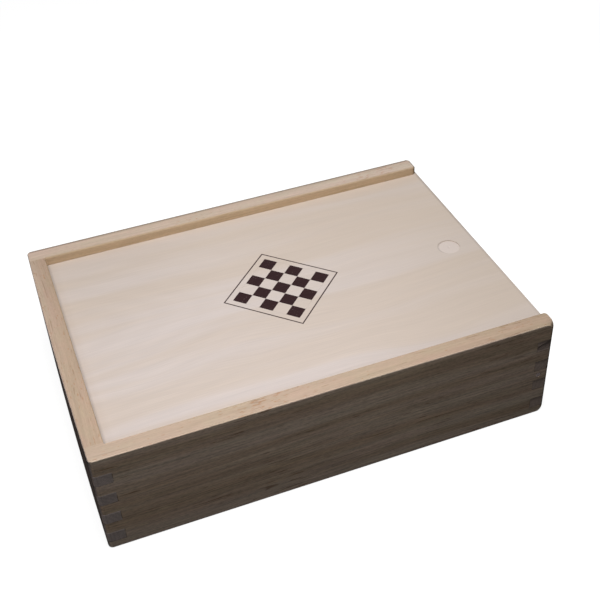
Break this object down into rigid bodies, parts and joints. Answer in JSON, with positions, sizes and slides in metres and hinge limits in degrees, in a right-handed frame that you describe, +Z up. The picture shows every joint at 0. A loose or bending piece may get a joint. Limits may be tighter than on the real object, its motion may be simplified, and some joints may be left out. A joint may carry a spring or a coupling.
{
  "type": "sliding-lid storage box",
  "caption": "Flat wooden box for chess pieces, with finger-jointed corners, a divider inside and a thin lid that slides out at one end.",
  "frame": {"origin": "under the middle of the box, on the surface that it stands on", "axes": "+X along the length to the open end where the lid comes out, -Y to the long front, +Z up"},
  "size_m": [0.2511, 0.178, 0.065],
  "materials": {
    "beech_board": "planed and sanded beech, bare",
    "lid_plywood": "sanded pale poplar veneer, bare, with a dark printed design",
    "base_plywood": "sanded pale plywood, bare",
    "brad_steel": "dull drawn wire"
  },
  "bodies": {
    "box": {"front_wall": "beech_board", "back_wall": "beech_board", "closed_end_wall": "beech_board", "open_end_wall": "beech_board", "base_panel": "base_plywood", "centre_divider": "base_plywood", "open_end_brads": "brad_steel", "base_brads": "brad_steel"},
    "lid": {"sliding_lid": "lid_plywood"}
  },
  "joints": [
    {"name": "lid_slide", "type": "slide", "parent": "box", "child": "lid", "axis": [1, 0, 0], "range_m": [0, 0.25]}
  ]
}
